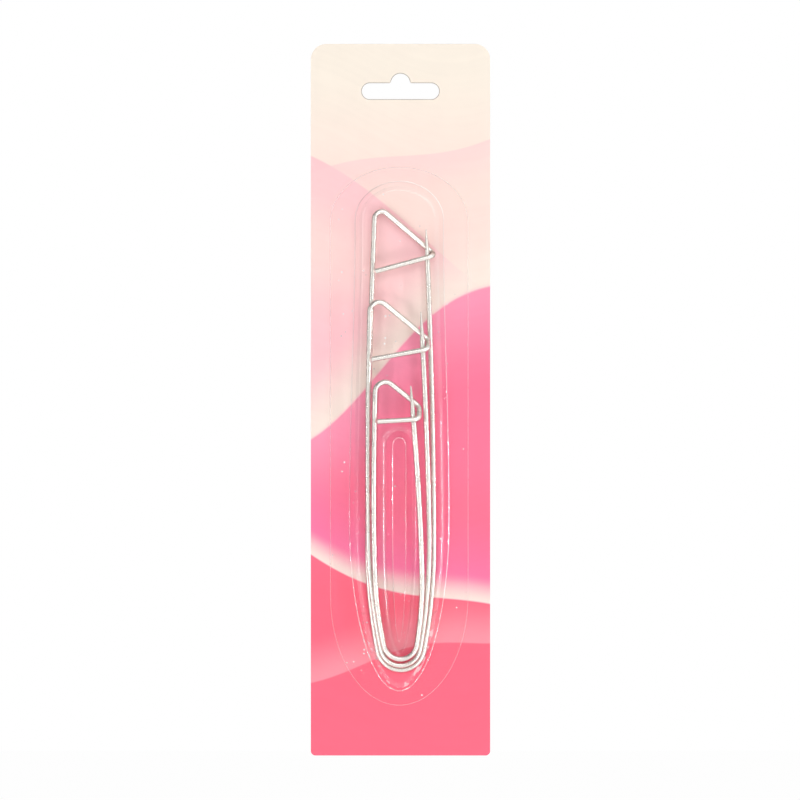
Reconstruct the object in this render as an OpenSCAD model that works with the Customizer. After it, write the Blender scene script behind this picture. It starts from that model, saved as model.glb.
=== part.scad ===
// Set of three stitch holders under a clear blister on a hanging card.
// Each holder is one bent wire: a pointed pin leg, a round bottom bend, a fixed leg, an arch, a slope
// that passes behind the pin, a loop round it, and a bar that comes back in front of it.
// The card stands in the XZ plane with its front towards -Y. The origin is the centre of the hang slot,
// on the back face of the card.

/* [Card] */
// Width of the card
card_w = 58; // [50:0.5:80]
// Thickness of the board
card_t = 0.6; // [0.4:0.1:1.5]
// Board above the blister
header_h = 39.8; // [34:0.2:60]
// Board below the blister
footer_h = 16.2; // [8:0.2:40]
// Radius of the two top corners
top_corner_r = 5; // [1:0.5:8]
// Radius of the two bottom corners
bottom_corner_r = 1.5; // [0.5:0.5:8]

/* [Hang slot] */
// Length of the slot
slot_w = 25; // [20:0.5:34]
// Height of the slot, which has round ends
slot_h = 5.2; // [4.4:0.1:7]
// From the top edge of the card to the centre of the slot
slot_drop = 15.3; // [12:0.1:20]
// Radius of the round hump in the middle, which a peg goes into
hump_r = 3.1; // [2.6:0.1:4]
// Radius of the fillets at the foot of the hump
hump_fillet_r = 0.6; // [0.3:0.1:1]

/* [Blister] */
// Thickness of the clear sheet
sheet_t = 0.35; // [0.2:0.05:0.6]
// Shift of the blister to the side of the middle of the card
blister_shift = -0.4; // [-2:0.1:2]
// Seal flange beside the widest part of the cavity
seal_side = 6.5; // [4:0.1:8]
// Seal flange above and below the cavity
seal_end = 5; // [3:0.1:10]
// Room beside the widest part of the largest holder
room_side = 4.3; // [2.5:0.1:5]
// Room beside the catch of the largest holder
room_catch = 4.1; // [2.5:0.1:6]
// Room above the arch of the largest holder
room_top = 8.7; // [5:0.1:15]
// Room below the bend of the largest holder
room_bottom = 5.7; // [5:0.1:12]
// Room between the front bar and the sheet
room_front = 0.2; // [0.1:0.05:1]
// Radius of the edge round the front of the blister
rim_r = 2.4; // [1.5:0.1:3.5]
// Radius of the fillet between the wall and the flange
foot_r = 0.5; // [0.3:0.1:1]
// Slope of the outer wall from square
wall_draft = 8; // [3:1:12]
// Gap between the smallest holder and the edge of the rib inside its loop
rib_gap = 0.2; // [0.1:0.05:1]
// Radius of the edge of the rib
rib_rim_r = 2.8; // [2:0.1:3.2]
// Slope of the wall of the rib from square
rib_draft = 12; // [8:1:14]
// Gap between the floor of the rib and the card
rib_floor_gap = 0.1; // [0.05:0.05:0.5]

/* [Wire] */
// Diameter of the wire
wire_d = 1.7; // [1.2:0.1:1.8]
// Length of the taper to each point
taper_l = 9; // [6:1:12]
// Diameter at the very point
point_d = 0.4; // [0.2:0.05:0.6]
// Angle by which the legs spread above the bottom bend
flare = 10.5; // [8:0.5:12]
// Slope of the wire that passes behind the pin
hook_slope = 40.5; // [36:0.5:45]
// Slack between the pin and the wire that passes behind it and in front of it
hook_slack = 0.08; // [0.05:0.01:0.3]
// Set-back of the fixed leg behind the plane of the pin, at the arch
set_back = 0.75; // [0:0.05:0.9]
// Gap between the largest holder and the card
lay_gap = 0.15; // [0.1:0.05:0.3]

/* [Largest holder] */
// Length over all
large_length = 149.8; // [140:0.1:180]
// Width between the middles of the legs, at the widest
large_width = 21.4; // [21.2:0.1:26]
// Width between the middles of the legs, below the catch
large_catch_w = 18.2; // [17:0.1:19]
// Radius of the bottom bend, at the middle of the wire
large_bend_r = 7.6; // [7.2:0.1:8.2]
// Radius of the arch, at the middle of the wire
large_arch_r = 2.35; // [2:0.05:3.5]
// From the pin to the outer end of the loop, to the side
large_loop_side = 1.8; // [1.5:0.05:2.4]
// Radius of the two bends of the loop, at the middle of the wire
large_loop_r = 1.5; // [1.3:0.05:1.6]
// Height of the loop
large_loop_h = 1.1; // [0.6:0.1:4]
// Slope of the bar
large_bar_slope = 15; // [0:1:18]
// Height of the point above the bar
large_point_rise = 8.5; // [6:0.1:12]
// Lean of the holder to the left
large_lean = 0.1; // [0:0.05:0.3]

/* [Middle holder] */
// Length over all
middle_length = 119.1; // [112:0.1:124]
// Width between the middles of the legs, at the widest
middle_width = 19.6; // [19.4:0.1:20]
// Width between the middles of the legs, below the catch
middle_catch_w = 17.9; // [17.6:0.1:18.2]
// Radius of the bottom bend, at the middle of the wire
middle_bend_r = 6.4; // [6:0.1:6.6]
// Radius of the arch, at the middle of the wire
middle_arch_r = 3.1; // [2:0.05:3.5]
// From the pin to the outer end of the loop, to the side
middle_loop_side = 1.9; // [1.8:0.05:2]
// Radius of the two bends of the loop, at the middle of the wire
middle_loop_r = 1.9; // [1.5:0.05:2]
// Height of the loop
middle_loop_h = 2.9; // [2:0.1:4]
// Slope of the bar
middle_bar_slope = 9.5; // [0:0.5:16]
// Height of the point above the bar
middle_point_rise = 11.8; // [8:0.1:13]
// Lean of the holder to the left
middle_lean = 0.9; // [0.85:0.05:1]
// Height of its bottom bend above that of the largest holder, between the middles of the wires
middle_nest = 1.5; // [1.3:0.1:3]

/* [Smallest holder] */
// Length over all
small_length = 91.1; // [84:0.1:94]
// Width between the middles of the legs, at the widest
small_width = 15.2; // [14.8:0.1:15.4]
// Width between the middles of the legs, below the catch
small_catch_w = 13.2; // [12.6:0.1:13.6]
// Radius of the bottom bend, at the middle of the wire
small_bend_r = 5.4; // [5:0.1:5.6]
// Radius of the arch, at the middle of the wire
small_arch_r = 3.3; // [2:0.05:3.8]
// From the pin to the outer end of the loop, to the side
small_loop_side = 2.1; // [1.8:0.1:2.4]
// Radius of the two bends of the loop, at the middle of the wire
small_loop_r = 1.9; // [1.5:0.05:2]
// Height of the loop
small_loop_h = 4.1; // [2:0.1:4.6]
// Slope of the bar
small_bar_slope = 1.6; // [0:0.2:10]
// Height of the point above the bar
small_point_rise = 10.6; // [8:0.2:12]
// Lean of the holder to the left
small_lean = 1.65; // [1.5:0.05:1.8]
// Height of its bottom bend above that of the middle holder, between the middles of the wires
small_nest = 2.2; // [2.1:0.1:4]

/* [Hidden] */
$fn = 32;
wire_r = wire_d / 2;
// How far a straight runs into the bends beside it, and how much thinner it is than they are
lap = 0.1;
bend_swell = 0.01;
// Straight stretch between the lower and the upper bow of a leg
crown = 1;
// How far below the catch the bow of a leg ends
below_catch = 8;
// Between the pin and the wire behind it or in front of it, from middle to middle
hook_pitch = wire_d + hook_slack;
// Between the end of the bar and the fixed leg
bar_gap = 0.1;
// How much farther forward each bottom bend lies than the one outside it
nest_step = 1.5;
// Gap in depth between the pins of the largest and of the middle holder, at the middle one's catch
layer_gap = 1.35;
// Sideways place of the bottom bends
nest_x = 0.12;

// Heights down the card, from the hang slot
flange_top = slot_drop - header_h;
cavity_top = flange_top - seal_end;
large_top = cavity_top - room_top;
large_z = large_top - large_length + wire_r;
middle_z = large_z + middle_nest;
small_z = middle_z + small_nest;
cavity_bottom = large_z - wire_r - room_bottom;
flange_bottom = cavity_bottom - seal_end;
card_top = slot_drop;
card_bottom = flange_bottom - footer_h;

// One holder in its own plane, as [corners of the frame, their radii, corners of the pin, their radii,
// height of the catch]. Its bottom bend is at the origin, and +Y points to the back.
function holder_shape(length, width, catch_w, bend_r, arch_r, side, loop_r, loop_h, bar_slope, point_rise) =
    let (
        half = width / 2,
        top = length - wire_d,
        foot = bend_r * tan((90 - flare) / 2),
        low_z = (half - foot) / tan(flare),
        low_r = (norm([half - foot, low_z]) - foot - crown) / tan(flare / 2),
        crown_z = low_z + low_r * tan(flare / 2) + crown,
        catch_z = top - catch_w * tan(hook_slope) - below_catch,
        bow_rise = catch_z - crown_z,
        bow_in = (width - catch_w) / 2,
        bow_r = (pow(bow_rise, 2) + pow(bow_in, 2)) / (2 * bow_in),
        lean_in = asin(bow_rise / bow_r),
        bow_z = crown_z + bow_r * tan(lean_in / 2),
        leg_l = (top - arch_r - catch_z + arch_r * sin(lean_in)) / cos(lean_in)
            + arch_r * tan((90 + hook_slope - lean_in) / 2),
        arch = [-catch_w / 2 + leg_l * sin(lean_in), set_back, catch_z + leg_l * cos(lean_in)],
        slope_l = (catch_w / 2 + side - arch.x - (arch.z - catch_z) * tan(lean_in))
            / (cos(hook_slope) - sin(hook_slope) * tan(lean_in)),
        loop_back = [arch.x + slope_l * cos(hook_slope), hook_pitch, arch.z - slope_l * sin(hook_slope)],
        loop_front = [loop_back.x, -hook_pitch, loop_back.z - loop_h],
        bar_end_z = (loop_front.z - (loop_front.x + catch_w / 2 - wire_r - bar_gap
            + catch_z * tan(lean_in)) * tan(bar_slope)) / (1 - tan(lean_in) * tan(bar_slope)),
        bar_end = [-catch_w / 2 + wire_r + bar_gap + (bar_end_z - catch_z) * tan(lean_in),
            -hook_pitch, bar_end_z],
        point_z = loop_front.z + point_rise,
        point = [catch_w / 2 - (point_z - catch_z) * tan(lean_in), 0, point_z],
        leg_radii = [bend_r, low_r, bow_r]
    )
    [
        [[0, 0, 0], [-foot, 0, 0], [-half, set_back * low_z / arch.z, low_z],
            [-half, set_back * bow_z / arch.z, bow_z], arch, loop_back, loop_front, bar_end],
        concat(leg_radii, [arch_r, loop_r, loop_r]),
        [[0, 0, 0], [foot, 0, 0], [half, 0, low_z], [half, 0, bow_z], point],
        leg_radii,
        loop_back.z
    ];

large_shape = holder_shape(large_length, large_width, large_catch_w, large_bend_r, large_arch_r,
    large_loop_side, large_loop_r, large_loop_h, large_bar_slope, large_point_rise);
middle_shape = holder_shape(middle_length, middle_width, middle_catch_w, middle_bend_r, middle_arch_r,
    middle_loop_side, middle_loop_r, middle_loop_h, middle_bar_slope, middle_point_rise);
small_shape = holder_shape(small_length, small_width, small_catch_w, small_bend_r, small_arch_r,
    small_loop_side, small_loop_r, small_loop_h, small_bar_slope, small_point_rise);

// Depths in front of the card. The largest holder lies on the card, and the others lie on it.
large_low = wire_r + lay_gap;
large_high = large_low + hook_pitch;
large_at_middle = large_low + (large_high - large_low) * middle_shape[4] / large_shape[4];
middle_low = large_low + nest_step;
middle_high = large_at_middle + wire_d + layer_gap;
middle_at_small = middle_low + (middle_high - middle_low) * small_shape[4] / middle_shape[4];
small_low = middle_low + nest_step;
small_high = middle_at_small + hook_pitch;
cavity_depth = small_high + hook_pitch + wire_r + room_front + sheet_t;

function unit(v) = v / norm(v);
function turn(p, i) = acos(unit(p[i] - p[i - 1]) * unit(p[i + 1] - p[i]));
function trim(p, radii, i) = i == 0 || i == len(p) - 1 ? 0 : radii[i - 1] * tan(turn(p, i) / 2);

// Puts its children at a, with their Z axis towards b
module along(a, b) {
    ahead = unit(b - a);
    side = unit(cross(abs(ahead.y) < 0.9 ? [0, 1, 0] : [1, 0, 0], ahead));
    up = cross(ahead, side);
    multmatrix([[side.x, up.x, ahead.x, a.x],
                [side.y, up.y, ahead.y, a.y],
                [side.z, up.z, ahead.z, a.z]]) children();
}

// A bend of radius r at a corner
module bend(before, corner, after, r) {
    ahead = unit(corner - before);
    next = unit(after - corner);
    angle = acos(ahead * next);
    inward = unit(next - ahead * (ahead * next));
    axis = cross(ahead, inward);
    middle = corner - ahead * r * tan(angle / 2) + inward * r;
    multmatrix([[-inward.x, ahead.x, axis.x, middle.x],
                [-inward.y, ahead.y, axis.y, middle.y],
                [-inward.z, ahead.z, axis.z, middle.z]])
        rotate_extrude(angle = angle) translate([r, 0]) circle(d = wire_d);
}

// A wire through corner points, with a bend at each inner one and a taper at the last
module wire(p, radii, taper = 0) {
    last = len(p) - 2;
    for (i = [0 : last]) {
        ahead = unit(p[i + 1] - p[i]);
        start = p[i] + ahead * (trim(p, radii, i) - (i == 0 ? 0 : lap));
        end = p[i + 1] - ahead * (trim(p, radii, i + 1) + (i == last ? taper : -lap));
        if (norm(end - start) > 2 * lap) along(start, end)
            cylinder(d = wire_d - bend_swell, h = norm(end - start));
        if (i == last && taper > 0) {
            along(end - ahead * lap, p[i + 1])
                cylinder(d1 = wire_d - 2 * bend_swell, d2 = point_d, h = taper + lap);
            translate(p[i + 1]) sphere(d = point_d + bend_swell);
        }
    }
    for (i = [1 : last]) bend(p[i - 1], p[i], p[i + 1], radii[i - 1]);
}

// Puts a holder in the stack: low and high are the depths of its bottom bend and of its catch
module in_stack(shape, z, lean, low, high) {
    translate([nest_x, -card_t - low, z])
        rotate([asin((high - low) / shape[4]), 0, 0])
            rotate([0, -lean, 0]) children();
}
module large_place() { in_stack(large_shape, large_z, large_lean, large_low, large_high) children(); }
module middle_place() { in_stack(middle_shape, middle_z, middle_lean, middle_low, middle_high) children(); }
module small_place() { in_stack(small_shape, small_z, small_lean, small_low, small_high) children(); }

module holder_15_frame() { color("silver") large_place() wire(large_shape[0], large_shape[1]); }
module holder_15_pin() { color("silver") large_place() wire(large_shape[2], large_shape[3], taper_l); }
module holder_12_frame() { color("silver") middle_place() wire(middle_shape[0], middle_shape[1]); }
module holder_12_pin() { color("silver") middle_place() wire(middle_shape[2], middle_shape[3], taper_l); }
module holder_9_frame() { color("silver") small_place() wire(small_shape[0], small_shape[1]); }
module holder_9_pin() { color("silver") small_place() wire(small_shape[2], small_shape[3], taper_l); }

// The outline of the card, drawn with its height along Y
module card_outline() {
    half = card_w / 2;
    difference() {
        translate([-half, card_bottom]) square([card_w, card_top - card_bottom]);
        for (side = [-1, 1]) {
            corner_cut([side * half, card_top], [-side, -1], top_corner_r);
            corner_cut([side * half, card_bottom], [-side, 1], bottom_corner_r);
        }
    }
}

// What a rounded corner loses: at is the corner, and inward points along both its edges
module corner_cut(at, inward, r) {
    translate(at) scale([inward.x, inward.y]) difference() {
        translate([-1, -1]) square(r + 1);
        translate([r, r]) circle(r);
    }
}

// The slot with its round ends, its hump and the fillets at the foot of the hump
module slot_outline() {
    reach = slot_w / 2 - slot_h / 2;
    translate([-reach, -slot_h / 2]) square([2 * reach, slot_h]);
    for (side = [-1, 1]) translate([side * reach, 0]) circle(d = slot_h);
    translate([0, slot_h / 2]) circle(hump_r);
    foot = hump_r + hump_fillet_r;
    difference() {
        translate([-foot, slot_h / 2 - 0.1]) square([2 * foot, hump_fillet_r + 0.1]);
        for (side = [-1, 1]) translate([side * foot, slot_h / 2 + hump_fillet_r]) circle(hump_fillet_r);
    }
}

module card() {
    color("pink") rotate([90, 0, 0]) linear_extrude(card_t) difference() {
        card_outline();
        slot_outline();
    }
}

// An egg-shaped outline as points, clockwise from its top: a half ellipse at each end, with sides
// that widen smoothly from the top one to the bottom one. inset draws it smaller all round.
cap_steps = 7;
side_steps = 8;
tail_steps = 11;
function egg(top, bottom, top_w, low_w, cap_h, tail_h, inset) =
    let (
        a = top_w / 2 - inset,
        b = low_w / 2 - inset,
        cap_z = top - cap_h,
        tail_z = bottom + tail_h,
        right = concat(
            [for (i = [0 : cap_steps]) let (t = 90 * (1 - i / cap_steps))
                [a * cos(t), cap_z + (cap_h - inset) * sin(t)]],
            [for (i = [1 : side_steps]) let (f = i / (side_steps + 1))
                [a + (b - a) * (1 - cos(180 * f)) / 2, cap_z + (tail_z - cap_z) * f]],
            [for (i = [0 : tail_steps]) let (t = 90 * i / tail_steps)
                [b * cos(t), tail_z - (tail_h - inset) * sin(t)]]
        )
    )
    concat(right, [for (i = [len(right) - 2 : -1 : 1]) [-right[i].x, right[i].y]]);

// A wall between two levels of the sheet, as [distance, depth] points from the lower level to the
// higher one. over is how far the surface lies behind the front one.
round_steps = 4;
function rise_gap(low, high, r_low, r_high, draft) =
    (r_low + r_high + (high - r_high - low - r_low) * sin(draft)) / cos(draft);
function rise(low, high, r_low, r_high, draft, over) = concat(
    [for (i = [0 : round_steps]) let (a = -90 + (90 - draft) * i / round_steps)
        [(r_low + over) * cos(a), low + r_low + (r_low + over) * sin(a)]],
    [for (i = [0 : round_steps]) let (a = 180 - draft - (90 - draft) * i / round_steps)
        [rise_gap(low, high, r_low, r_high, draft) + (r_high - over) * cos(a),
            high - r_high + (r_high - over) * sin(a)]]
);

// Ends of the rib inside the smallest loop, and its lean and width
rib_reach = small_width / 2 - wire_r - rib_gap;
rib_top = small_z + (small_shape[0][7].z - wire_r - rib_gap) * cos(small_lean);
rib_bottom = small_z + wire_r + rib_gap;
rib_cap = 7;
rib_tail = 40;
rib_low = sheet_t + rib_floor_gap;
rib_run = rise_gap(rib_low, cavity_depth, foot_r, rib_rim_r, rib_draft);

// Outlines of the flange, of the cavity and of the rib, from the front view
flange_cap = 17.8;
flange_tail = 35.6;
cavity_cap = 12.3;
cavity_tail = 55;
cavity_w = large_width + wire_d + 2 * room_side;
cavity_top_w = large_catch_w + wire_d + 2 * room_catch;
function flange_ring() = egg(flange_top, flange_bottom, cavity_w + 2 * seal_side,
    cavity_w + 2 * seal_side, flange_cap, flange_tail, 0);
function cavity_ring(inset) = egg(cavity_top, cavity_bottom, cavity_top_w, cavity_w,
    cavity_cap, cavity_tail, inset);
function rib_ring(inset) = egg(rib_top, rib_bottom, 2 * rib_reach, 2 * rib_reach, rib_cap, rib_tail, inset);

// One face of the sheet as rings of points, from the edge of the flange to the floor of the rib
function at_depth(ring, depth) = [for (p = ring) [p.x + blister_shift, -card_t - depth, p.y]];
function face_rings(over) = concat(
    [at_depth(flange_ring(), sheet_t - over)],
    [for (s = rise(sheet_t, cavity_depth, foot_r, rim_r, wall_draft, over))
        at_depth(cavity_ring(s.x - foot_r), s.y)],
    let (wall = rise(rib_low, cavity_depth, foot_r, rib_rim_r, rib_draft, over))
    [for (i = [len(wall) - 1 : -1 : 0]) at_depth(rib_ring(rib_run - wall[i].x), wall[i].y)]
);

// The clear sheet, formed in one piece: flange, cavity and rib
module blister() {
    front = face_rings(0);
    back = face_rings(sheet_t);
    rings = concat([for (i = [len(front) - 1 : -1 : 0]) front[i]], back);
    n = len(rings[0]);
    points = [for (ring = rings) each ring];
    sides = [for (i = [0 : len(rings) - 2], j = [0 : n - 1])
        let (a = i * n + j, b = i * n + (j + 1) % n) each [[a, b, b + n], [a, b + n, a + n]]];
    first = [for (j = [n - 1 : -1 : 0]) j];
    last = [for (j = [0 : n - 1]) (len(rings) - 1) * n + j];
    color("white", 0.3) polyhedron(points, concat([first], sides, [last]));
}

card();
blister();
holder_15_frame();
holder_15_pin();
holder_12_frame();
holder_12_pin();
holder_9_frame();
holder_9_pin();
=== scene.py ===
"""Dresses a set of three stitch holders under a clear blister on a printed hanging card."""

import math

import bpy
from bpy.props import FloatProperty, FloatVectorProperty, PointerProperty
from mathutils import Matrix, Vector


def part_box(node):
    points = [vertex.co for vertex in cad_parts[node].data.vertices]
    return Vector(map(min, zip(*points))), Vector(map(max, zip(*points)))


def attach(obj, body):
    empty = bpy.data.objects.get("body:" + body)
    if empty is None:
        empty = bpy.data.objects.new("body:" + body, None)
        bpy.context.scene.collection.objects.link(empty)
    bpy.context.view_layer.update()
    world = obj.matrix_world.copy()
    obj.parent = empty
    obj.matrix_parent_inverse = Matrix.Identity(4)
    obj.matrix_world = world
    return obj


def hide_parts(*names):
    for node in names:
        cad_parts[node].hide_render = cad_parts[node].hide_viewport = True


bl_info = {
    "name": "Stitch Holder Pack",
    "version": (1, 0, 0),
    "blender": (4, 5, 0),
    "location": "View3D > Sidebar > Pack",
    "description": "Printed card, clear formed blister and polished wire for a set of stitch holders",
    "category": "Object",
}

MM = 0.001

# The hang slot in the board, and the width of the painted line of shade round its cut edge, in millimetres
SLOT_LENGTH = 25
SLOT_HEIGHT = 5.2
SLOT_HUMP_RADIUS = 3.1
SLOT_SHADE_WIDTH = 0.22

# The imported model, its box before anything is added, and its nodes of wire
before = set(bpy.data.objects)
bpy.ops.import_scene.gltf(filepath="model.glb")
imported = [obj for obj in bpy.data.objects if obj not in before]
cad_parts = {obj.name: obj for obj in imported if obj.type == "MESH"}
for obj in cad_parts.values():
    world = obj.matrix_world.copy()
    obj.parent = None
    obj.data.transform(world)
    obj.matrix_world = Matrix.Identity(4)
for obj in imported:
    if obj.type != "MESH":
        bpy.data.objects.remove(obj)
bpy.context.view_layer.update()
WIRES = [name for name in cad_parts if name.startswith("holder_")]

# Points on each stretch of an egg-shaped outline and on each rounded bend
CAP_STEPS = 24
SIDE_STEPS = 36
TAIL_STEPS = 48
ROUND_STEPS = 9

# Rings of points that make the cut edge of the sheet
EDGE_RINGS = 3

# Sharpest turn between two faces that still looks smooth
SMOOTH_ANGLE = math.radians(35)

# How strongly the wide edges at the front shine, where the tight bends at the foot have 1
FRONT_BEND = 0.18

# A Mix node has its factor and its two colours at these inputs, and the blended colour at this output
MIX_FACTOR = 0
MIX_FIRST = 6
MIX_SECOND = 7
MIX_COLOUR = 2


def srgb(red, green, blue):
    """Linear colour from the 0 to 255 values that a picture shows."""
    def linear(value):
        value /= 255
        return value / 12.92 if value <= 0.04045 else ((value + 0.055) / 1.055) ** 2.4
    return (linear(red), linear(green), linear(blue), 1.0)


class Flow:
    """A socket in a node tree, so that shader maths reads like plain maths."""

    def __init__(self, graph, socket):
        self.graph = graph
        self.socket = socket

    def math(self, operation, *others):
        inputs = dict(enumerate((self, *others)))
        return self.graph.node("Math", settings={"operation": operation}, inputs=inputs)

    def __add__(self, other):
        return self.math("ADD", other)

    def __sub__(self, other):
        return self.math("SUBTRACT", other)

    def __mul__(self, other):
        return self.math("MULTIPLY", other)

    def __truediv__(self, other):
        return self.math("DIVIDE", other)

    def __neg__(self):
        return self.math("MULTIPLY", -1.0)

    __radd__ = __add__
    __rmul__ = __mul__

    def __rsub__(self, other):
        return -self + other

    def sin(self):
        return self.math("SINE")

    def below(self, limit):
        return self.math("LESS_THAN", limit)

    def step(self, low, high):
        """0 below low and 1 above high, with a smooth rise between them."""
        return self.graph.node("MapRange", settings={"interpolation_type": "SMOOTHSTEP"},
                               inputs={"Value": self, "From Min": low, "From Max": high})


class Graph:
    """A node tree under construction."""

    def __init__(self, tree):
        self.tree = tree

    def feed(self, slot, value):
        """Links a Flow to a slot, or sets the slot to a plain value. A vector slot takes a colour too."""
        if isinstance(value, Flow):
            self.tree.links.new(value.socket, slot)
        elif slot.type == "VECTOR":
            slot.default_value = value[:3]
        else:
            slot.default_value = value

    def node(self, kind, output=0, settings=None, inputs=None):
        """Adds a node of a type, then its settings, then the values or links of its inputs."""
        made = self.tree.nodes.new("ShaderNode" + kind)
        for name, value in (settings or {}).items():
            setattr(made, name, value)
        for name, value in (inputs or {}).items():
            self.feed(made.inputs[name], value)
        return Flow(self, made.outputs[output])

    def split(self, vector):
        """The three numbers of a vector."""
        return [self.node("SeparateXYZ", output=axis, inputs={"Vector": vector}) for axis in "XYZ"]

    def at(self, x, y, z):
        return self.node("CombineXYZ", inputs={"X": x, "Y": y, "Z": z})

    def noise(self, where, scale=1.0, detail=2.0, roughness=0.5):
        """Noise about 0, from about -0.5 to 0.5."""
        inputs = {"Vector": where, "Scale": scale, "Detail": detail, "Roughness": roughness}
        return self.node("TexNoise", inputs=inputs) - 0.5

    def mix(self, share, first, second):
        """Blends two colours."""
        inputs = {MIX_FACTOR: share, MIX_FIRST: first, MIX_SECOND: second}
        return self.node("Mix", output=MIX_COLOUR, settings={"data_type": "RGBA"}, inputs=inputs)

    def scale(self, colour, factor):
        """Multiplies a colour by a number."""
        return self.node("VectorMath", settings={"operation": "SCALE"},
                         inputs={"Vector": colour, "Scale": factor})

    def length(self, across, up):
        """Length of a flat vector."""
        return (across * across + up * up).math("SQRT")

    def seen_directly(self):
        """1 for rays that come from the camera or through something clear."""
        return self.node("LightPath", "Is Camera Ray") + self.node("LightPath", "Is Transmission Ray")


class Material(Graph):
    """A material under construction, with one Principled shader."""

    def __init__(self, name):
        self.material = bpy.data.materials.new(name)
        self.material.use_nodes = True
        super().__init__(self.material.node_tree)
        self.shader = self.tree.nodes["Principled BSDF"]

    def place(self):
        """Object coordinates in millimetres, as three flows."""
        return [number / MM for number in self.split(self.node("TexCoord", output="Object"))]

    def set(self, **inputs):
        """Sets or links inputs of the Principled shader. Their names have _ for a space."""
        for name, value in inputs.items():
            self.feed(self.shader.inputs[name.replace("_", " ")], value)

    def bump(self, height, distance, strength):
        inputs = {"Height": height, "Distance": distance, "Strength": strength}
        self.set(Normal=self.node("Bump", output="Normal", inputs=inputs))


def soft_waves(board, x, z, down, tints):
    """The print: two arcs, a main wave and two ribbons. down runs from 0 at the card's top to 1."""
    cream, petal = tints.cream, tints.petal
    colour = board.mix(down.step(0.02, 0.3), cream, tints.blush)
    colour = board.mix(down.step(0.25, 0.42), colour, petal)

    # A broad arc across the upper part, sharp above and fading below
    arc = z + 44 + x * 0.55 + (x / 20 - 0.4).sin() * 7
    colour = board.mix(arc.step(-38, 0.8) * arc.step(0.8, 0.0) * 0.85, colour, petal)
    second = z + 21 - x * 0.32 + (x / 15).sin() * 4
    colour = board.mix(second.step(-17, 0.3) * second.step(0.3, -0.3) * 0.6, colour, tints.shell)

    # The main wave: a pale crest, and deep pink below it
    crest = z + 86 - x * 0.7 - (x / 13 + 0.5).sin() * 6.5
    colour = board.mix(crest.step(26, 1.0) * crest.step(-1.0, 1.5) * 0.8, colour, cream)
    colour = board.mix(crest.step(0.5, -0.5), colour, tints.rose)
    colour = board.mix(crest.step(4, -34), colour, tints.pink)
    colour = board.mix(down.step(0.55, 0.8) * crest.step(0, -5), colour, tints.coral)

    # Two lower ribbons, each with a pale sharp edge that fades upwards
    ribbon = z + 158 + x * 0.42 - (x / 18 - 0.8).sin() * 6
    colour = board.mix(ribbon.step(34, 0) * ribbon.step(-0.4, 0.4) * 0.75, colour, tints.magenta)
    colour = board.mix(ribbon.step(9, 0) * ribbon.step(-0.4, 0.4) * 0.85, colour, cream)
    fold = z + 183 - x * 0.2 - (x / 11 + 1.1).sin() * 2.6
    return board.mix(fold.step(16, 0) * fold.step(-0.4, 0.4) * 0.35, colour, petal)


def slot_edge_shade(board, x, z):
    """1 on a thin line round the hang slot, where shade at its cut edge is painted in."""
    straight = (SLOT_LENGTH - SLOT_HEIGHT) / 2
    bar = board.length((x.math("ABSOLUTE") - straight).math("MAXIMUM", 0.0), z) - SLOT_HEIGHT / 2
    hump = board.length(x, z - SLOT_HEIGHT / 2) - SLOT_HUMP_RADIUS
    return bar.math("MINIMUM", hump).below(SLOT_SHADE_WIDTH)


def printed_board(tints, box):
    """Coated board: soft pink waves on cream in front, white at the cut edge, grey-white behind."""
    board = Material("printed_board")
    x, y, z = board.place()
    top = box[1].z / MM
    bottom = box[0].z / MM
    front = box[0].y / MM
    colour = soft_waves(board, x, z, (top - z) / (top - bottom), tints)

    # Ink: fine streaks along the waves like light on silk, slow mottle and fine grain
    swing = (x / 17 + 0.6).sin() * 9
    silk = board.noise(board.at(x / 60, 0.0, (z + swing) / 2.2), detail=3.0)
    mottle = board.noise(board.at(x, 0.0, z), scale=0.11, detail=3.0)
    grain = board.noise(board.at(x, y, z), scale=5.0, detail=2.0)
    colour = board.scale(colour, silk * 0.07 + mottle * 0.05 + grain * 0.025 + 1.0)
    # Painted shade: a thin dark line round the hang slot stands for the shade at its cut edge
    colour = board.mix(slot_edge_shade(board, x, z) * 0.7, colour, tints.slot_shade)

    # The back and the cut edge, which the y coordinate tells from the front
    fibre = board.noise(board.at(x * 0.35, y, z), scale=2.4, detail=6.0, roughness=0.7)
    fleck = board.noise(board.at(x, y, z * 0.4), scale=6.0, detail=2.0).step(0.16, 0.24)
    paper = board.scale(board.mix(fleck * 0.4, tints.paper, tints.fleck), fibre * 0.12 + 1.0)
    is_back = y.step(-0.06, -0.02)
    is_front = y.below(front + 0.03)
    plain = board.mix(is_back, tints.core, paper)
    board.set(Base_Color=board.mix(is_front, plain, colour))
    board.set(Roughness=0.82 - is_front * (grain * 0.1 + mottle * 0.12 + 0.48))
    board.set(Coat_Weight=is_front * 0.25, Coat_Roughness=0.12, Specular_IOR_Level=0.4)
    board.bump(fibre * (1.0 - is_front * 0.8) + grain * 0.3, distance=0.03 * MM, strength=0.5)
    return board.material


def drawn_wire(finish):
    """Polished drawn aluminium, with fine draw lines, faint smears and a few dull marks."""
    wire = Material("drawn_wire")
    x, y, z = wire.place()
    lines = wire.noise(wire.at(x * 5, y * 5, z * 0.12), detail=2.0)
    smear = wire.noise(wire.at(x, y, z), scale=0.35, detail=4.0, roughness=0.6)
    mark = wire.noise(wire.at(x, y, z), scale=1.9, detail=3.0).step(0.17, 0.27)
    shade = wire.mix(mark * 0.35, finish.metal, finish.dull)
    metal = wire.scale(shade, lines * 0.1 + smear * 0.08 + 1.0)
    # The grey Specular Tint is painted shade: it darkens the metal at flat angles in place of dark
    # reflections at the wire's edges
    wire.set(Base_Color=metal, Metallic=1.0, Specular_Tint=finish.edge)
    wire.set(Roughness=lines * 0.1 + smear * 0.1 + mark * 0.12 + 0.28)
    wire.bump(lines + mark * -0.3, distance=0.006 * MM, strength=0.3)
    return wire.material


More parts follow.
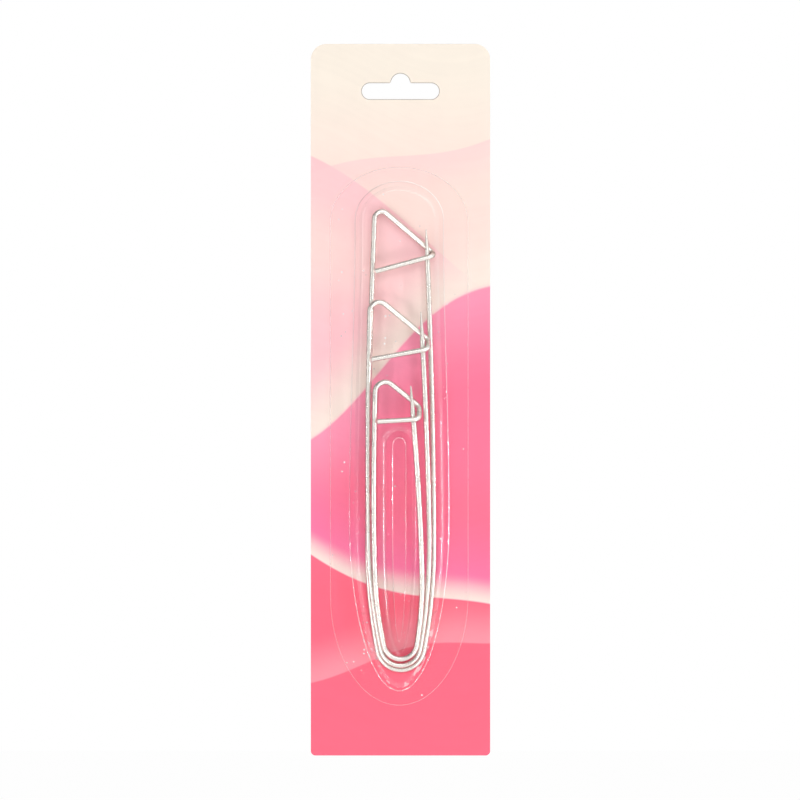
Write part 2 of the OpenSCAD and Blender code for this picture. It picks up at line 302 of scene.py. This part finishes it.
def clear_sheet():
    """Thin clear plastic: what isn't reflected goes straight through. Bends and dust catch more light, and
    painted white highlights sit at its lower end.
    """
    sheet = Material("clear_sheet")
    x, y, z = sheet.place()
    dust = sheet.node("TexVoronoi", output="Distance", inputs={"Vector": sheet.at(x, y, z), "Scale": 0.42})
    dust_and_glint = dust.step(0.14, 0.09) * sheet.noise(sheet.at(x, y, z), scale=0.09).step(0.05, 0.12)
    haze = sheet.noise(sheet.at(x, y, z * 0.25), scale=0.25, detail=4.0, roughness=0.6)
    pull = sheet.noise(sheet.at(x, y, z * 0.12), scale=0.9, detail=2.0)
    slant = sheet.node("LayerWeight", output="Facing", inputs={"Blend": 0.5})
    bend = sheet.node("Attribute", output="Fac", settings={"attribute_name": "bend"})

    # At the lower end beside the rib, white blotches are painted in as highlights, and its walls have
    # streaks
    beside_rib = sheet.length(x, (z + 150) / 4.6).step(7.0, 7.6)
    deep_end = z.step(-166, -178) * beside_rib
    painted_glint = sheet.noise(sheet.at(x, y, z), scale=0.42).step(0.0, 0.14)
    dust_and_glint = dust_and_glint.math("MAXIMUM", painted_glint * deep_end * bend.step(0.03, 0.16) * 0.45)
    streak = sheet.noise(sheet.at(x * 1.8, y * 1.8, z * 0.03), detail=3.0).step(0.06, 0.2)
    shine = slant.math("POWER", 7.0) * 0.4 + bend * 0.38 + streak * slant.step(0.0, 0.3) * 0.18 + 0.018
    # Dust specks and the painted highlight blotches turn the sheet white and matt
    sheet.set(Base_Color=(0.97, 0.975, 0.98, 1.0), Metallic=dust_and_glint.below(0.02))
    sheet.set(Alpha=(shine * (haze * 0.5 + 1.0) + dust_and_glint * 0.9).math("MINIMUM", 0.95))
    sheet.set(Roughness=dust_and_glint * 0.4 + haze * 0.05 + 0.17)
    sheet.bump((haze * 0.6 + pull * 0.4) * (deep_end * 0.8 + 0.2), distance=0.05 * MM, strength=0.3)
    return sheet.material


def cut_edge():
    """Cut edge of the sheet, which the shears leave a little frosted."""
    edge = Material("cut_edge")
    x, y, z = edge.place()
    frost = edge.noise(edge.at(x, y, z), scale=1.3, detail=3.0)
    edge.set(Base_Color=edge.scale((0.95, 0.95, 0.95, 1.0), frost * 0.1 + 1.0), Roughness=frost * 0.3 + 0.5)
    edge.set(Alpha=frost * 0.3 + 0.3)
    return edge.material


def floor_paint(settings):
    """Pale matt floor that shows white to the camera, and still takes some of the shadow."""
    paint = Material("floor_paint")
    x, y, z = paint.place()
    mottle = paint.noise(paint.at(x, y, z), scale=0.02)
    paint.set(Base_Color=paint.scale(srgb(246, 246, 245), mottle * 0.02 + 1.0), Roughness=0.9)
    glow = paint.node("Emission", inputs={"Strength": settings.floor_white})
    seen = paint.seen_directly() + paint.node("LightPath", "Is Glossy Ray")
    plain = Flow(paint, paint.shader.outputs[0])
    blend = paint.node("MixShader", inputs={0: seen * settings.floor_glow, 1: plain, 2: glow})
    paint.feed(paint.tree.nodes["Material Output"].inputs["Surface"], blend)
    return paint.material


def assign(obj, material):
    """Gives every slot of an object the same material."""
    if not obj.material_slots:
        obj.data.materials.append(material)
    for slot in obj.material_slots:
        slot.material = material


def egg(top, bottom, top_width, low_width, cap, tail, inset):
    """Points of an egg-shaped outline, clockwise from its top."""
    half_top = top_width / 2 - inset
    half_low = low_width / 2 - inset
    cap_z = top - cap
    tail_z = bottom + tail
    right = []
    for i in range(CAP_STEPS + 1):
        turn = math.pi / 2 * (1 - i / CAP_STEPS)
        right.append((half_top * math.cos(turn), cap_z + (cap - inset) * math.sin(turn)))
    for i in range(1, SIDE_STEPS + 1):
        share = i / (SIDE_STEPS + 1)
        widened = (1 - math.cos(math.pi * share)) / 2
        right.append((half_top + (half_low - half_top) * widened, cap_z + (tail_z - cap_z) * share))
    for i in range(TAIL_STEPS + 1):
        turn = math.pi / 2 * i / TAIL_STEPS
        right.append((half_low * math.cos(turn), tail_z - (tail - inset) * math.sin(turn)))
    left = [(-x, z) for x, z in reversed(right[1:-1])]
    return right + left


def wall_reach(low, high, r_low, r_high, draft):
    """How far a wall runs inwards between two levels of the sheet."""
    straight = high - r_high - low - r_low
    return (r_low + r_high + straight * math.sin(draft)) / math.cos(draft)


def wall(low, high, r_low, r_high, draft):
    """Profile of a wall as (distance, level, bend), with a fillet at its foot and a round front edge."""
    reach = wall_reach(low, high, r_low, r_high, draft)
    foot = []
    top = []
    for i in range(ROUND_STEPS + 1):
        share = i / ROUND_STEPS
        bend = math.sin(math.pi * share)
        turn = -math.pi / 2 + (math.pi / 2 - draft) * share
        foot.append((r_low * math.cos(turn), low + r_low + r_low * math.sin(turn), bend))
        turn = math.pi - draft - (math.pi / 2 - draft) * share
        level = high - r_high + r_high * math.sin(turn)
        top.append((reach + r_high * math.cos(turn), level, FRONT_BEND * bend))
    return foot + top


def sheet_rings(blister, box):
    """The sheet's front as rings of points, from the cut edge of the flange to the floor of the rib."""
    low, high = box
    centre = (low.x + high.x) / 2
    depth = high.y - low.y
    thick = blister.thickness
    width = high.x - low.x

    def ring(points, level, bend=0.0):
        return [(x + centre, high.y - level, z) for x, z in points], bend

    def flange(inset, level):
        return ring(egg(high.z, low.z, width, width, blister.flange_cap, blister.flange_tail, inset), level)

    rings = [flange(0, blister.seal_gap), flange(0, thick - blister.edge_round),
             flange(blister.edge_round, thick)]
    cavity = (high.z - blister.seal_end, low.z + blister.seal_end, blister.cavity_top_width,
              width - 2 * blister.seal_side, blister.cavity_cap, blister.cavity_tail)
    for distance, level, bend in wall(thick, depth, blister.foot_radius, blister.rim_radius,
                                      blister.wall_draft):
        rings.append(ring(egg(*cavity, distance - blister.foot_radius), level, bend))
    shape = (thick + blister.floor_gap, depth, blister.foot_radius, blister.rib_rim_radius,
             blister.rib_draft)
    reach = wall_reach(*shape)
    rib = (blister.rib_top, blister.rib_bottom, blister.rib_width, blister.rib_width,
           blister.rib_cap, blister.rib_tail)
    for distance, level, bend in reversed(wall(*shape)):
        rings.append(ring(egg(*rib, reach - distance), level, bend))
    return rings


def mesh_from_rings(name, rings):
    """A mesh through rings of points, open at the first ring and with a flat floor in the last one."""
    size = len(rings[0][0])
    points = [point for ring, bend in rings for point in ring]
    faces = [[(len(rings) - 1) * size + i for i in range(size)]]
    for r in range(len(rings) - 1):
        for i in range(size):
            corner = r * size + i
            beside = r * size + (i + 1) % size
            faces.append([corner, beside, beside + size, corner + size])
    mesh = bpy.data.meshes.new(name)
    mesh.from_pydata(points, [], faces)
    bends = mesh.attributes.new("bend", "FLOAT", "POINT")
    bends.data.foreach_set("value", [bend for ring, bend in rings for point in ring])
    obj = bpy.data.objects.new(name, mesh)
    bpy.context.scene.collection.objects.link(obj)
    return obj


def frost_edge(sheet, ring_size):
    """Gives the band of the cut edge its own material."""
    sheet.data.materials.append(cut_edge())
    for face in sheet.data.polygons:
        if max(face.vertices) < EDGE_RINGS * ring_size:
            face.material_index = 1


def finish_mesh(obj, angle):
    """Turns normals outwards and smooths all but sharp edges."""
    bpy.ops.object.select_all(action="DESELECT")
    obj.select_set(True)
    bpy.context.view_layer.objects.active = obj
    bpy.ops.object.mode_set(mode="EDIT")
    bpy.ops.mesh.select_all(action="SELECT")
    bpy.ops.mesh.normals_make_consistent(inside=False)
    bpy.ops.object.mode_set(mode="OBJECT")
    bpy.ops.object.shade_smooth_by_angle(angle=angle)
    obj.select_set(False)


def colour_property(name, description, red, green, blue):
    """A colour that a user can change, from the 0 to 255 values that a picture shows."""
    return FloatVectorProperty(name=name, description=description, subtype="COLOR", size=4,
                               min=0, max=1, default=srgb(red, green, blue))


def length_property(name, description, millimetres):
    return FloatProperty(name=name, description=description, default=millimetres * MM, unit="LENGTH")


def angle_property(name, description, degrees):
    return FloatProperty(name=name, description=description, default=math.radians(degrees),
                         subtype="ANGLE")


def strength_property(name, description, strength):
    return FloatProperty(name=name, description=description, default=strength, min=0)


def power_property(name, description, watts):
    return FloatProperty(name=name, description=description, default=watts, unit="POWER")


class CardSettings(bpy.types.PropertyGroup):
    """Colours of the printed board."""

    cream: colour_property("Cream", "Ground at the top and the pale crests", 246, 235, 221)
    blush: colour_property("Blush", "Ground below the top", 253, 219, 211)
    petal: colour_property("Petal", "Broad arc, lower ground and lowest fold", 255, 196, 203)
    shell: colour_property("Shell", "Second, fainter arc", 254, 205, 207)
    rose: colour_property("Rose", "Main wave below its crest", 254, 150, 180)
    pink: colour_property("Pink", "Main wave further down", 254, 116, 150)
    magenta: colour_property("Magenta", "Ribbon above its pale edge", 250, 122, 174)
    coral: colour_property("Coral", "Bottom of the card", 255, 101, 127)
    # The line round the hang slot is painted shade at its cut edge, not a pressed crease
    slot_shade: colour_property("Crease", "Pressed line round the hang slot", 120, 112, 106)
    core: colour_property("Core", "Cut edge of the board", 247, 246, 243)
    paper: colour_property("Paper", "Back of the board", 233, 230, 223)
    fleck: colour_property("Fleck", "Flecks in the back of the board", 196, 190, 178)


class WireSettings(bpy.types.PropertyGroup):
    """Colours of the drawn wire."""

    metal: colour_property("Metal", "Clean metal", 238, 235, 228)
    dull: colour_property("Dull", "Dull marks", 186, 183, 178)
    # The edge tint is painted shade that stands in for dark reflections at the wire's edges
    edge: colour_property("Edge", "Tint where the metal is seen at a flat angle", 150, 148, 146)


class BlisterSettings(bpy.types.PropertyGroup):
    """Sizes of the clear sheet that its box doesn't give."""

    thickness: length_property("Thickness", "Thickness of the sheet", 0.35)
    seal_gap: length_property("Seal gap", "Hair's breadth between the flange and the card", 0.03)
    seal_side: length_property("Side seal", "Flange beside the cavity", 6.5)
    seal_end: length_property("End seal", "Flange above and below the cavity", 5)
    cavity_top_width: length_property("Top width", "Width of the cavity at its top", 28.1)
    flange_cap: length_property("Flange top", "Height of the flange's round top", 17.8)
    flange_tail: length_property("Flange bottom", "Height of the flange's round bottom", 35.6)
    cavity_cap: length_property("Cavity top", "Height of the cavity's round top", 12.3)
    cavity_tail: length_property("Cavity bottom", "Height of the cavity's round bottom", 55)
    rim_radius: length_property("Rim", "Radius of the edge round the front", 2.4)
    edge_round: length_property("Cut edge", "Size of the worn corner of the cut edge", 0.2)
    foot_radius: length_property("Foot", "Radius of the fillet at the flange", 0.5)
    wall_draft: angle_property("Wall draft", "Slope of the outer wall from square", 8)
    rib_top: length_property("Rib top", "Height of the top of the rib", -107.7)
    rib_bottom: length_property("Rib bottom", "Height of the bottom of the rib", -182.4)
    rib_width: length_property("Rib width", "Width of the rib at the front", 13.1)
    rib_cap: length_property("Rib cap", "Height of the rib's round top", 7)
    rib_tail: length_property("Rib tail", "Height of the rib's pointed bottom", 40)
    rib_rim_radius: length_property("Rib rim", "Radius of the edge of the rib", 2.8)
    rib_draft: angle_property("Rib draft", "Slope of the rib's wall from square", 12)
    floor_gap: length_property("Floor gap", "Gap between the rib's floor and the card", 0.1)


class StageSettings(bpy.types.PropertyGroup):
    """Floor, lamps, world and camera."""

    focal_length: FloatProperty(name="Lens", description="Focal length", default=200, unit="CAMERA")
    view_width: length_property("View width", "Width that the picture takes in at the card", 258.9)
    view_x: length_property("View X", "Middle of the picture, sideways", -0.16)
    view_z: length_property("View Z", "Middle of the picture, in height", -99.9)
    floor_z: length_property("Floor", "Height of the floor below the hanging card", -450)
    floor_size: length_property("Floor size", "Side of the floor", 6000)
    floor_glow: strength_property("Floor glow", "Share of plain white in what the camera sees", 0.88)
    floor_white: strength_property("Floor white", "Strength of that plain white", 1.06)
    sky: strength_property("Sky", "Strength of the world's light on the object", 0.5)
    room_light: strength_property("Room light", "Brightness of the right side in reflections", 0.78)
    room_shade: strength_property("Room shade", "Brightness of the left side in reflections", 0.16)
    key_power: power_property("Key", "Large lamp at the right", 1.3)
    fill_power: power_property("Fill", "Lamp at the left", 0.8)
    front_power: power_property("Front", "Large lamp in front", 1.6)
    strip_power: power_property("Strip", "Narrow lamp at the right", 1.2)
    edge_power: power_property("Edge", "Narrow lamp at the left", 0.5)
    low_power: power_property("Low", "Each small lamp below the pack", 0.3)
    back_power: power_property("Back", "Lamp behind the card", 4.8)


class PACK_OT_card(bpy.types.Operator):
    """Prints the card"""

    bl_idname = "pack.card"
    bl_label = "Print Card"

    def execute(self, context):
        assign(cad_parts["card"], printed_board(context.scene.pack_card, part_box("card")))
        return {"FINISHED"}


class PACK_OT_wires(bpy.types.Operator):
    """Polishes the wires of the three holders"""

    bl_idname = "pack.wires"
    bl_label = "Polish Wires"

    def execute(self, context):
        metal = drawn_wire(context.scene.pack_wires)
        for name in WIRES:
            assign(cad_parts[name], metal)
        return {"FINISHED"}


class PACK_OT_blister(bpy.types.Operator):
    """Forms the clear sheet over the holders"""

    bl_idname = "pack.blister"
    bl_label = "Form Blister"

    def execute(self, context):
        settings = context.scene.pack_blister
        rings = sheet_rings(settings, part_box("blister"))
        sheet = mesh_from_rings("blister_sheet", rings)
        finish_mesh(sheet, SMOOTH_ANGLE)
        assign(sheet, clear_sheet())
        frost_edge(sheet, len(rings[0][0]))
        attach(sheet, "blister_body")
        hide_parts("blister")
        return {"FINISHED"}


class PACK_OT_stage(bpy.types.Operator):
    """Adds the floor, the lamps, the world and the camera"""

    bl_idname = "pack.stage"
    bl_label = "Set Stage"

    def execute(self, context):
        settings = context.scene.pack_stage
        bpy.ops.mesh.primitive_plane_add(size=settings.floor_size, location=(0, 0, settings.floor_z))
        floor = context.active_object
        floor.name = "floor"
        assign(floor, floor_paint(settings))
        target = Vector((settings.view_x, 0, settings.view_z))
        add_lamp("key", (0.55, -0.75, 0.35), (0.55, 0.55), settings.key_power, target)
        add_lamp("fill", (-0.7, -0.6, 0.1), (0.4, 0.4), settings.fill_power, target)
        add_lamp("front", (0.1, -1.05, 0.38), (0.5, 0.4), settings.front_power, target)
        add_lamp("strip", (0.8, -0.35, -0.2), (0.014, 0.18), settings.strip_power, target)
        add_lamp("edge", (-0.7, -0.5, -0.22), (0.01, 0.2), settings.edge_power, target)
        for side in (-1, 1):
            add_lamp("low", (side * 0.24, -0.4, -0.34), (0.02, 0.2), settings.low_power, target)
        add_lamp("back", (0.3, 0.9, 0.5), (0.5, 0.5), settings.back_power, target)
        set_world(settings)
        add_camera(settings, target)
        context.scene.view_settings.view_transform = "Standard"
        return {"FINISHED"}


def add_lamp(name, place, size, power, target):
    """A soft lamp of a width and a height that faces the target."""
    lamp = bpy.data.lights.new(name, "AREA")
    lamp.shape = "RECTANGLE"
    lamp.size, lamp.size_y = size
    lamp.energy = power
    obj = bpy.data.objects.new(name, lamp)
    obj.location = place
    obj.rotation_euler = (target - Vector(place)).to_track_quat("-Z", "Y").to_euler()
    bpy.context.scene.collection.objects.link(obj)


def set_world(settings):
    """White to the camera, softer light on the object, and a room that is darker on the left."""
    world = bpy.data.worlds.new("studio")
    world.use_nodes = True
    bpy.context.scene.world = world
    graph = Graph(world.node_tree)
    sideways = graph.split(graph.node("TexCoord", output="Generated"))[0]
    contrast = settings.room_light - settings.room_shade
    room = sideways.step(-0.6, 0.2) * contrast + settings.room_shade
    seen = graph.seen_directly()
    glossy = graph.node("LightPath", "Is Glossy Ray")
    strength = glossy * room + (1.0 - glossy) * settings.sky
    background = world.node_tree.nodes["Background"]
    graph.feed(background.inputs["Color"], (1, 1, 1, 1))
    graph.feed(background.inputs["Strength"], strength * (1.0 - seen) + seen)


def add_camera(settings, target):
    """A long lens straight in front of the card."""
    camera = bpy.data.cameras.new("camera")
    camera.lens = settings.focal_length
    distance = settings.view_width * camera.lens / camera.sensor_width
    camera.clip_end = 20
    obj = bpy.data.objects.new("camera", camera)
    obj.location = target - Vector((0, distance, 0))
    obj.rotation_euler = (math.pi / 2, 0, 0)
    bpy.context.scene.collection.objects.link(obj)
    bpy.context.scene.camera = obj


class PACK_PT_panel(bpy.types.Panel):
    """Buttons for the parts of the pack"""

    bl_label = "Stitch Holder Pack"
    bl_idname = "PACK_PT_panel"
    bl_space_type = "VIEW_3D"
    bl_region_type = "UI"
    bl_category = "Pack"

    def draw(self, context):
        for operator in OPERATORS:
            self.layout.operator(operator.bl_idname)


OPERATORS = (PACK_OT_card, PACK_OT_wires, PACK_OT_blister, PACK_OT_stage)
SETTINGS = {"pack_card": CardSettings, "pack_wires": WireSettings, "pack_blister": BlisterSettings,
            "pack_stage": StageSettings}
CLASSES = (*SETTINGS.values(), *OPERATORS, PACK_PT_panel)


def register():
    for cls in CLASSES:
        bpy.utils.register_class(cls)
    for name, group in SETTINGS.items():
        setattr(bpy.types.Scene, name, PointerProperty(type=group))


def unregister():
    for name in SETTINGS:
        delattr(bpy.types.Scene, name)
    for cls in reversed(CLASSES):
        bpy.utils.unregister_class(cls)


def main():
    register()
    bpy.ops.pack.card()
    bpy.ops.pack.wires()
    bpy.ops.pack.blister()
    bpy.ops.pack.stage()


if __name__ == "__main__":
    main()
